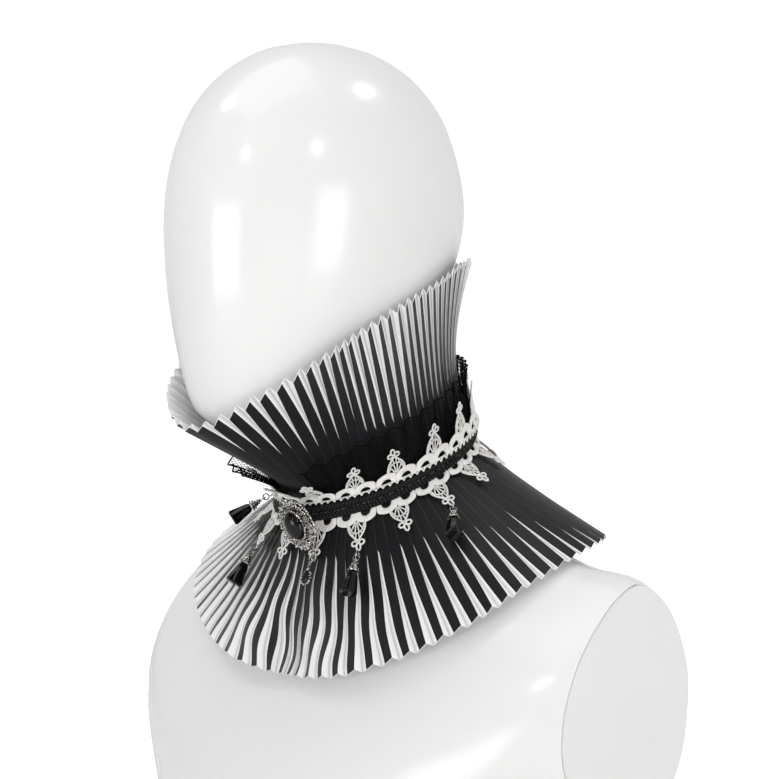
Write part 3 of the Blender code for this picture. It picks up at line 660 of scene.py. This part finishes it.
for side, end in ((1, "left"), (-1, "right")):
    along = np.linspace(NET_ENDS[0], NET_ENDS[1], 2 * NET_CELLS_ALONG + 1)
    points, index, faces = [], {}, []
    for row in range(2 * NET_CELLS_OUT + 1):
        for column in range(2 * NET_CELLS_ALONG + 1):
            if (row + column) % 2 == 0:
                index[(row, column)] = len(points)
                points.append((side * along[column], row / (2 * NET_CELLS_OUT)))
    for row in range(1, 2 * NET_CELLS_OUT):
        for column in range(1, 2 * NET_CELLS_ALONG):
            if (row + column) % 2 == 1:
                faces.append((index[(row - 1, column)], index[(row, column + 1)],
                              index[(row + 1, column)], index[(row, column - 1)]))
    flat = np.array(points)
    net = mesh_piece("net_" + end, net_point(flat[:, 0], flat[:, 1]), faces)
    mesh_threads = net.modifiers.new("threads", "WIREFRAME")
    mesh_threads.thickness = THREAD * MM
    mesh_threads.use_even_offset = False
    net.data.materials.append(net_silk)
    only(net)
    bpy.ops.object.modifier_apply(modifier="threads")
    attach(net, BODY)
    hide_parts("net_ruffle_" + end)

    edge_angles = side * np.linspace(NET_ENDS[0], NET_ENDS[1], 330)
    hem_points, hem_faces = tube(net_point(edge_angles, np.full(330, 1.0)), CORD_RADIUS, 8)
    hem = mesh_piece("net_cord_" + end, hem_points, hem_faces)
    hem.data.materials.append(net_silk)
    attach(hem, BODY)


# Braid: woven gimp of two plaited rows that hides every seam on the band. It is black, with dull
# metal threads whose glints are painted into its colour as pale specks, and pale stitches where its
# two rows meet.
BRAID_RADIUS = 58.1
BRAID_HALF_HEIGHT = 4.9
CHEVRONS = 180
STRAND = 0.8
STRAND_SEAT = 0.9
STRAND_BULGE = 0.55
ROW_FROM = 0.55
ROW_RUN = 3.45
CORE_PROFILE = ((56.4, -4.7), (56.9, -4.7), (57.3, -2.4), (56.9, 0.0),
                (57.3, 2.4), (56.9, 4.7), (56.4, 4.7))

braid_half = 180.0 - math.degrees(BACK_OPENING / 50.0)
core_angles = np.linspace(-braid_half, braid_half, 181)
core = np.stack([ring_point(core_angles, radius, rise) for radius, rise in reversed(CORE_PROFILE)], 1)
braid_parts = [(core.reshape(-1, 3), ring_faces(len(core_angles), len(CORE_PROFILE)))]
degree = 2 * braid_half / CHEVRONS
u = np.linspace(0.0, 1.0, 8)
strand_radius = BRAID_RADIUS - STRAND_SEAT + STRAND_BULGE * np.sin(math.pi * u) ** 0.7
for k in range(CHEVRONS):
    for row in (1, -1):
        angle = -braid_half + degree * (k + 0.1 + 0.9 * u + (0.5 if row < 0 else 0.0))
        path = ring_point(np.minimum(angle, braid_half), strand_radius, row * (ROW_FROM + ROW_RUN * u))
        braid_parts.append(tube(path, STRAND, 7))
braid_points, braid_faces = join_parts(braid_parts)
braid = mesh_piece("braid_gimp", braid_points, braid_faces)
gimp, tree, shader = finish_material("black_gimp", (0.01, 0.01, 0.011), 0.5,
                                     sockets=(("Specular IOR Level", 0.3),))
# Painted highlight: pale specks in the black colour stand for glints of light on the threads
specks = texture(tree, "Voronoi", (("Scale", 620.0),), "Distance")
painted_glint = ranged(tree, specks, 1.0, 0.0, 0.0, 0.12)
give(shader, (("Base Color", blend(tree, painted_glint, (0.006, 0.006, 0.007, 1), (0.11, 0.105, 0.1, 1))),))
fibre = texture(tree, "Noise", (("Scale", 1500.0), ("Detail", 1.0)))
emboss(tree, shader, fibre, 0.35)
braid.data.materials.append(gimp)
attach(braid, BODY)
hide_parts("braid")

# The pale stitches along the middle of the braid
stitch_parts = []
for k in range(2 * CHEVRONS):
    if chance.uniform() < 0.5:
        continue
    middle = -braid_half + (k + 0.5) * degree / 2
    path = ring_point(middle + np.array([-0.13, 0.0, 0.13]) * degree, BRAID_RADIUS + 0.2,
                      np.array([-0.15, 0.0, 0.15]) * (1 if k % 2 else -1))
    stitch_parts.append(tube(path, 0.13, 5))
stitches = mesh_piece("braid_stitches", *join_parts(stitch_parts))
dull_metal, tree, shader = finish_material("dull_metal_thread", (0.36, 0.35, 0.33), 0.4, 0.6)
fleck = texture(tree, "Noise", (("Scale", 300.0),))
give(shader, (("Base Color", blend(tree, fleck, (0.1, 0.1, 0.1, 1), (0.6, 0.59, 0.56, 1))),))
stitches.data.materials.append(dull_metal)
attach(stitches, BODY)


# Lace: off-white guipure edging, stitched solid over a padding cord. Three picots a scallop lap
# over the braid, each scallop has an eyelet, and a net-filled pendant hangs where two meet.
SCALLOP = 12.4
SCALLOP_ANGLE = 11.25
LACE_REPEATS_A_SIDE = 8
CORD = 0.5
LACE_SWAY = 1.3
LOWER_DROP = 0.5
OVER_BRAID = 5.2
EYELET_SIDE = ((3.1, 1.2), (3.0, 2.5), (2.1, 4.3))
EYELET_TOP = 5.0
ARCH_SIDE = ((6.3, 1.2), (6.3, 5.6), (4.2, 7.4))
ARCH_TOP = 8.3


def cord(points, radius=CORD, count=12, closed=False, lift=0.0):
    """A padded cord of the lace, laid flat."""
    curve = rounded(points, count, closed)
    path = np.column_stack([curve, np.full(len(curve), lift)])
    return tube(path, radius, 6, closed)


def mirrored(points):
    """A half outline completed on the other side, ending where it began."""
    return [(-x, y) for x, y in points] + [(x, y) for x, y in reversed(points) if x > 0.01]


def oval(x, y, half_x, half_y, count):
    """Points round an oval in the plane of the lace."""
    return [(x + half_x * math.cos(a), y + half_y * math.sin(a))
            for a in np.arange(count) * 2 * math.pi / count]


def padded_arch(centre):
    """The raised satin arch of one scallop round its eyelet."""
    inner = rounded(mirrored((*EYELET_SIDE, (0, EYELET_TOP))), 25)
    outer = rounded(mirrored((*ARCH_SIDE, (0, ARCH_TOP))), 25)
    across = np.linspace(0.0, 1.0, 7)
    width = inner[:, None] + (outer - inner)[:, None] * across[None, :, None]
    dome = 0.12 + 0.4 * np.sqrt(np.clip(1 - (2 * across - 1) ** 2, 0, 1))
    top = np.concatenate([width, np.broadcast_to(dome[None, :, None], width.shape[:2] + (1,))], -1)
    bottom = top.copy()
    bottom[..., 2] = -0.35
    loop = np.concatenate([top, bottom[:, ::-1]], 1) + (centre, 0.0, 0.0)
    return loop.reshape(-1, 3), ring_faces(*loop.shape[:2])


lace_parts, picot_parts = [], []
for centre in (-SCALLOP / 2, SCALLOP / 2):
    lace_parts.append(padded_arch(centre))
    lace_parts.append(cord([(centre - 3.3, 1.6), (centre, 1.5), (centre + 3.3, 1.6)], 0.4, 5))
    for k in range(3):
        start = centre - SCALLOP / 2 + k * SCALLOP / 3
        bow = [(start + SCALLOP / 3 * s, -1.1 + 2.5 * math.sin(math.pi * s) ** 0.5)
               for s in (0.0, 0.05, 0.2, 0.5, 0.8, 0.95, 1.0)]
        picot_parts.append(cord(bow, 0.5, 15, lift=0.15))
outline = ((5.3, 7.4), (5.25, 10.0), (4.3, 12.8), (2.5, 15.6), (0.0, 18.3))
inner_arc = ((4.5, 8.3), (3.7, 11.0), (2.2, 12.9), (0.0, 13.7))
lace_parts.append(cord(mirrored(outline), 0.6, 27))
lace_parts.append(cord(mirrored(inner_arc), 0.42, 17))
lace_parts.append(cord(oval(0.0, 6.5, 0.8, 0.8, 8), 0.32, 12, closed=True))
for end in ((-3.5, 11.2), (-1.25, 13.3), (1.25, 13.3), (3.5, 11.2)):
    lace_parts.append(cord([(0.25 * end[0], 7.2), end], 0.42, 5))
for side in (1, -1):
    for a, b in (((4.4, 8.6), (5.3, 8.9)), ((4.1, 10.1), (5.1, 10.8)), ((3.3, 11.7), (4.2, 12.9)),
                 ((2.2, 12.9), (2.9, 15.0)), ((0.8, 13.6), (1.1, 16.9))):
        lace_parts.append(cord([(side * a[0], a[1]), (side * b[0], b[1])], 0.38, 3))
    lace_parts.append(cord(oval(2.1 * side, 19.9, 1.55 * side, 1.5, 10), 0.58, 15, closed=True))
lace_parts.append(cord(oval(0.0, 22.3, 1.15, 2.2, 10), 0.56, 16, closed=True))


def lace_on(strip, points, centre):
    """The flat repeat laid on a strip, with its pendant at an angle on the band. The picots of the
    upper length lap over the braid, and it stands free and bends a little. The lower length hangs
    just clear of the braid, so that its eyelets show."""
    across, out, up = points.T
    upper = strip["side"] > 0
    if upper:
        across = across + LACE_SWAY * chance.normal() * (np.maximum(out - 7.0, 0.0) / 17.0) ** 1.5
    else:
        out = out + LOWER_DROP * (1.0 - step_up(out, 9.0, 22.0))
    far = np.maximum(out, 0.0)
    angle = centre + across / SCALLOP * SCALLOP_ANGLE * ROOT_RADIUS / (ROOT_RADIUS + 0.35 * far)
    reach = BRAID_HALF_HEIGHT + 0.3 + out
    full = strip_mean(strip, angle, 1.0) - strip_mean(strip, angle, 0.0)
    slant = np.linalg.norm(full, axis=-1)
    upright = KNEE_SHARE * (reach - ROOT_OFFSET) / (strip["knee"] - ROOT_OFFSET)
    t = np.where(reach < strip["knee"], upright, KNEE_SHARE + (reach - strip["knee"]) / slant)
    if upper:
        clear = 3.3 + 4.9 * (far / 24.6) ** 1.3
        clear = clear + (OVER_BRAID - clear) * (1.0 - step_up(out, 0.2, 3.0))
    else:
        clear = 1.9 + 1.5 * np.minimum(far / 20.0, 1.0)
    return strip_point(strip, angle, t, clear + up)


guipure, tree, shader = finish_material("off_white_guipure", (0.80, 0.775, 0.71), 0.75,
                                        sockets=(("Sheen Weight", 0.25), ("Subsurface Weight", 0.08),
                                                 ("Subsurface Scale", 0.0006)))
stitching = texture(tree, "Wave", (("Scale", 330.0), ("Distortion", 2.5), ("Detail", 1.0)),
                    bands_direction="DIAGONAL")
emboss(tree, shader, stitching, 0.5, 0.00025)
ageing = texture(tree, "Noise", (("Scale", 90.0), ("Detail", 3.0)))
give(shader, (("Base Color", blend(tree, ageing, (0.87, 0.86, 0.83, 1), (0.74, 0.72, 0.68, 1))),))

for strip, level, parts in ((RUFF, "upper", lace_parts + picot_parts), (CAPELET, "lower", lace_parts)):
    repeat_points, repeat_faces = join_parts(parts)
    for end, numbers in (("left", range(LACE_REPEATS_A_SIDE)), ("right", range(-LACE_REPEATS_A_SIDE, 0))):
        repeats = [(lace_on(strip, repeat_points, 2 * SCALLOP_ANGLE * (k + 0.5)), repeat_faces)
                   for k in numbers]
        lace = mesh_piece("lace_" + level + "_" + end, *join_parts(repeats))
        only(lace)
        bpy.ops.object.mode_set(mode="EDIT")
        bpy.ops.mesh.select_all(action="SELECT")
        bpy.ops.mesh.normals_make_consistent(inside=False)
        bpy.ops.object.mode_set(mode="OBJECT")
        lace.data.materials.append(guipure)
        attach(lace, BODY)
        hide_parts(level + "_lace_" + end)


# Brooch: a cast antique silver filigree oval with a black glass cabochon in a beaded setting, a
# cluster of stones like a crown at its upper end and another below. It is pinned through the
# braid at the front, leaning, and a small pendant hangs from it on a ring.
BROOCH_PLACE = Matrix(((0.9204, -0.1171, -0.3730, 0.00839), (0.0001, 0.9541, -0.2995, -0.06834),
                       (0.3910, 0.2756, 0.8782, 0.17012), (0, 0, 0, 1)))
PENDANT_PLACE = Matrix(((0.9979, -0.0590, -0.0252, 0.01536), (0.0641, 0.9177, 0.3921, -0.06379),
                        (0.0, -0.3929, 0.9196, 0.15371), (0, 0, 0, 1)))
BEZEL = (6.2, 8.6)
LOOP_OVAL = (9.0, 12.0)
RIM_OVAL = (10.9, 14.2)
ON_EDGE = Matrix.Rotation(math.pi / 2, 4, "X")
RING_WIRE = {"major_segments": 28, "minor_segments": 10, "major_radius": 1.75, "minor_radius": 0.4}
EYE_DROP = 2.26
torus = bpy.ops.mesh.primitive_torus_add
ball = bpy.ops.mesh.primitive_ico_sphere_add
globe = bpy.ops.mesh.primitive_uv_sphere_add
rod = bpy.ops.mesh.primitive_cylinder_add
cone = bpy.ops.mesh.primitive_cone_add


def at(x, y, z):
    return Matrix.Translation((x, y, z))


def scaled(x, y, z):
    return Matrix.Diagonal((x, y, z, 1.0))


def leant(degrees):
    return Matrix.Rotation(math.radians(degrees), 4, "Y")


def primitive(operator, place=Matrix.Identity(4), **settings):
    """A new mesh object from a Blender primitive. A matrix in millimetres moves the mesh itself,
    so that the object stays at the origin, unscaled."""
    bpy.ops.object.select_all(action="DESELECT")
    operator(**settings)
    made = bpy.context.active_object
    made.data.transform(place)
    return made


def copies(pattern, places):
    """Copies of one object, each with its own mesh, as (matrix in millimetres) places."""
    made = []
    for matrix in places:
        twin = pattern.copy()
        twin.data = pattern.data.copy()
        twin.data.transform(matrix)
        bpy.context.scene.collection.objects.link(twin)
        made.append(twin)
    bpy.data.objects.remove(pattern)
    return made


def assemble(name, parts, place, material, body, replaces=(), smooth=30):
    """Joins parts made in millimetres and puts them in their place."""
    bpy.ops.object.select_all(action="DESELECT")
    for part in parts:
        part.select_set(True)
    bpy.context.view_layer.objects.active = parts[0]
    if len(parts) > 1:
        bpy.ops.object.join()
    whole = bpy.context.view_layer.objects.active
    whole.name = name
    whole.data.transform(whole.matrix_world)
    whole.matrix_world = Matrix.Identity(4)
    whole.data.transform(place @ scaled(MM, MM, MM))
    whole.data.materials.clear()
    whole.data.materials.append(material)
    only(whole)
    bpy.ops.object.shade_smooth_by_angle(angle=math.radians(smooth))
    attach(whole, body)
    if replaces:
        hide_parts(*replaces)


def round_oval(half, count, y, start=0.0):
    """Places evenly round an oval in the brooch's plane, turned to face outwards."""
    places = []
    for k in range(count):
        a = 2 * math.pi * (k + start) / count
        turn = -math.atan2(half[0] * math.sin(a), half[1] * math.cos(a))
        places.append(at(half[0] * math.cos(a), y, half[1] * math.sin(a)) @ Matrix.Rotation(turn, 4, "Y"))
    return places


def link_ring():
    """A jump ring of round wire, fixed edge on to the cloth."""
    return primitive(torus, Matrix.Rotation(math.pi / 2, 4, "Y"), **RING_WIRE)


def hanging_eye():
    """The eye that hangs in a jump ring, turned across it."""
    return primitive(torus, at(0, 0, -EYE_DROP) @ ON_EDGE, **RING_WIRE)


silver, tree, shader = finish_material("antique_silver", (0.74, 0.71, 0.66), 0.25, 1.0)
tarnish = texture(tree, "Noise", (("Scale", 900.0), ("Detail", 3.0)))
hollows = ranged(tree, tarnish, 0.0, 1.0, 0.44, 0.6)
give(shader, (("Base Color", blend(tree, hollows, (0.74, 0.71, 0.66, 1), (0.05, 0.042, 0.036, 1))),))
emboss(tree, shader, tarnish, 0.35)
black_glass, tree, shader = finish_material("black_glass", (0.003, 0.003, 0.0035), 0.06,
                                            sockets=(("Specular IOR Level", 0.35),))
smear = texture(tree, "Noise", (("Scale", 120.0), ("Detail", 3.0)))
give(shader, (("Roughness", ranged(tree, smear, 0.03, 0.14)),))
crystal, tree, shader = finish_material("cut_crystal", (0.86, 0.86, 0.88), 0.04, 0.75)
# Painted highlight: bright and dark spots in the colour stand for light flashing off the cut facets
painted_flash = texture(tree, "Voronoi", (("Scale", 900.0),), "Distance")
give(shader, (("Base Color", blend(tree, painted_flash, (0.95, 0.95, 0.97, 1), (0.25, 0.25, 0.28, 1))),))

brooch_parts = []
for half, y, wire in ((BEZEL, -3.0, 0.75), (LOOP_OVAL, -0.9, 0.55), (RIM_OVAL, -0.6, 0.5)):
    hoop_shape = at(0, y, 0) @ scaled(half[0] / 10.0, 1.0, half[1] / 10.0) @ ON_EDGE
    brooch_parts.append(primitive(torus, hoop_shape, major_segments=72, minor_segments=8,
                                  major_radius=10.0, minor_radius=wire))
seat_shape = at(0, -1.6, 0) @ scaled(6.3, 2.6, 8.7) @ ON_EDGE
brooch_parts.append(primitive(rod, seat_shape, vertices=48, radius=1.0, depth=1.0))
brooch_parts.append(primitive(rod, at(0, 4.0, 0) @ ON_EDGE, vertices=16, radius=1.2, depth=9.0))
curl = primitive(torus, ON_EDGE, major_segments=14, minor_segments=6, major_radius=1.55, minor_radius=0.36)
brooch_parts += copies(curl, round_oval((8.9, 11.8), 20, -2.1))
bead = primitive(ball, subdivisions=2, radius=0.62)
brooch_parts += copies(bead, round_oval((6.9, 9.4), 32, -3.6))
stud = primitive(ball, subdivisions=2, radius=0.85)
brooch_parts += copies(stud, round_oval((11.2, 14.5), 20, -1.2, 0.5))
leaf = primitive(ball, scaled(0.8, 0.7, 2.1), subdivisions=2, radius=1.0)
crown = [at(1.9 * k, -2.3, 13.9 - 0.45 * k * k) @ leant(17 * k) for k in (-2, -1, 0, 1, 2)]
foot = [at(1.7 * k, -2.3, -13.4 + 0.5 * k * k) @ leant(-20 * k) for k in (-1, 0, 1)]
brooch_parts += copies(leaf, crown + foot)
assemble("brooch_filigree", brooch_parts, BROOCH_PLACE, silver, BODY, ("brooch_frame",))

gem = primitive(ball, subdivisions=1, radius=0.72)
gems = copies(gem, round_oval((9.2, 12.2), 20, -2.5)
              + [at(2.1 * k, -3.4, 12.2 - 0.35 * k * k) @ Matrix.Scale(1.25, 4) for k in (-1, 0, 1)]
              + [at(2.0 * k, -3.4, -12.1 + 0.3 * k * k) @ Matrix.Scale(1.2, 4) for k in (-1, 0, 1)])
assemble("brooch_crystals", gems, BROOCH_PLACE, crystal, BODY, smooth=5)

stone = primitive(globe, scaled(5.6, 4.2, 7.9), segments=64, ring_count=32, radius=1.0)
bpy.ops.object.mode_set(mode="EDIT")
bpy.ops.mesh.select_all(action="SELECT")
bpy.ops.mesh.bisect(plane_co=(0, 0, 0), plane_no=(0, 1, 0), use_fill=True, clear_outer=True)
bpy.ops.object.mode_set(mode="OBJECT")
stone.data.transform(at(0, -3.5, 0))
assemble("brooch_cabochon", [stone], BROOCH_PLACE, black_glass, BODY, ("brooch_stone",))

assemble("brooch_jump_ring", [link_ring()], PENDANT_PLACE, silver, BODY,
         ("brooch_ring",))
pendant_parts = [hanging_eye()]
for z, radius in ((-4.9, 1.3), (-7.1, 1.2)):
    pendant_parts.append(primitive(ball, at(0, 0, z), subdivisions=3, radius=radius))
drop_shape = [(-4.0 * math.sin(a) * math.sin(a / 2) ** 1.1, -12.9 + 4.5 * math.cos(a))
              for a in np.arange(18) * 2 * math.pi / 18]
stud = primitive(ball, subdivisions=2, radius=0.72)
pendant_parts += copies(stud, [at(x, -0.6, z) for x, z in drop_shape])
backing_shape = at(0, 0.3, -13.2) @ scaled(3.3, 0.8, 4.2)
pendant_parts.append(primitive(ball, backing_shape, subdivisions=3, radius=1.0))
assemble("pendant_setting", pendant_parts, PENDANT_PLACE, silver, "pendant",
         ("brooch_pendant",))
pear_shape = at(0, -0.6, -13.3) @ scaled(2.7, 1.5, 3.7)
pear = primitive(globe, pear_shape, segments=24, ring_count=14, radius=1.0)
assemble("pendant_stone", [pear], PENDANT_PLACE, black_glass, "pendant")


# Four drops: black faceted glass in a pointed filigree cap of silver, with bead rows round it. Each
# hangs on a ring through the tip of a lace pendant. A row: the ring's middle, then its three axes.
DROP_PLACES = (
    ((-75.51, -15.55, 179.61), (0.7823, -0.6229, 0.0), (0.3332, 0.4185, -0.8449), (0.5263, 0.6609, 0.535)),
    ((-41.58, -55.64, 153.96), (0.9452, -0.3266, 0.0), (0.274, 0.7928, -0.5444), (0.1778, 0.5145, 0.8388)),
    ((40.98, -55.19, 154.81), (0.939, 0.3439, 0.0), (-0.2943, 0.8035, -0.5175), (-0.178, 0.486, 0.8557)),
    ((74.6, -15.25, 180.06), (0.7206, 0.6934, 0.0), (-0.4103, 0.4264, -0.8061), (-0.559, 0.5809, 0.5917)),
)
# height, radius and wire of each hoop, then height, radius, count and size of each row of beads
CAP_HOOPS = ((-4.0, 1.0, 0.3), (-6.9, 1.75, 0.3), (-10.1, 2.75, 0.4))
CAP_BEADS = ((-5.4, 1.5, 8, 0.38), (-8.4, 2.35, 10, 0.5), (-9.9, 2.95, 12, 0.42))


def grow_end(obj, up, length, shrink):
    """Extrudes the flat end of a turned shape and tapers it."""
    only(obj)
    for face in obj.data.polygons:
        face.select = face.normal.z * up > 0.95
    middle = sum((face.center for face in obj.data.polygons if face.select), Vector())
    bpy.ops.object.mode_set(mode="EDIT")
    bpy.ops.mesh.extrude_region_move(TRANSFORM_OT_translate={"value": (0, 0, up * length)})
    bpy.ops.transform.resize(value=(shrink, shrink, 1.0), center_override=middle)
    bpy.ops.object.mode_set(mode="OBJECT")


for number, (spot, x_axis, y_axis, z_axis) in enumerate(DROP_PLACES, 1):
    drop_place = Matrix((x_axis, y_axis, z_axis)).transposed().to_4x4()
    drop_place.translation = Vector(spot) * MM
    body = "drop_%d" % number
    assemble("drop_link_%d" % number, [link_ring()], drop_place, silver, BODY,
             ("drop_ring_%d" % number,))
    cap_parts = [hanging_eye()]
    cap_parts.append(primitive(cone, at(0, 0, -7.0), vertices=24, radius1=2.75, radius2=0.7, depth=6.3))
    for z, radius, wire in CAP_HOOPS:
        cap_parts.append(primitive(torus, at(0, 0, z), major_segments=24, minor_segments=6,
                                   major_radius=radius, minor_radius=wire))
    for z, radius, count, size in CAP_BEADS:
        spots = [at(radius * math.cos(a), radius * math.sin(a), z)
                 for a in np.arange(count) * 2 * math.pi / count]
        cap_parts += copies(primitive(ball, subdivisions=2, radius=size), spots)
    assemble("drop_filigree_%d" % number, cap_parts, drop_place, silver, body,
             ("drop_cap_%d" % number,))
    glass = primitive(cone, at(0, 0, -17.8) @ Matrix.Rotation(math.pi / 8, 4, "Z"), vertices=8,
                      radius1=5.0, radius2=3.1, depth=10.4)
    grow_end(glass, 1, 1.9, 0.7)
    grow_end(glass, -1, 0.9, 0.84)
    bevel = glass.modifiers.new("ground_edges", "BEVEL")
    bevel.width = 0.3
    bevel.segments = 2
    bevel.limit_method = "ANGLE"
    only(glass)
    bpy.ops.object.modifier_apply(modifier="ground_edges")
    assemble("drop_glass_%d" % number, [glass], drop_place, black_glass, body,
             ("glass_drop_%d" % number,), smooth=12)


# Closure: a flat hook and an eye, sewn to the ends of the band at the back of the neck.
for name in ("clasp_hook", "clasp_eye"):
    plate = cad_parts[name]
    plate.data.materials.clear()
    plate.data.materials.append(silver)
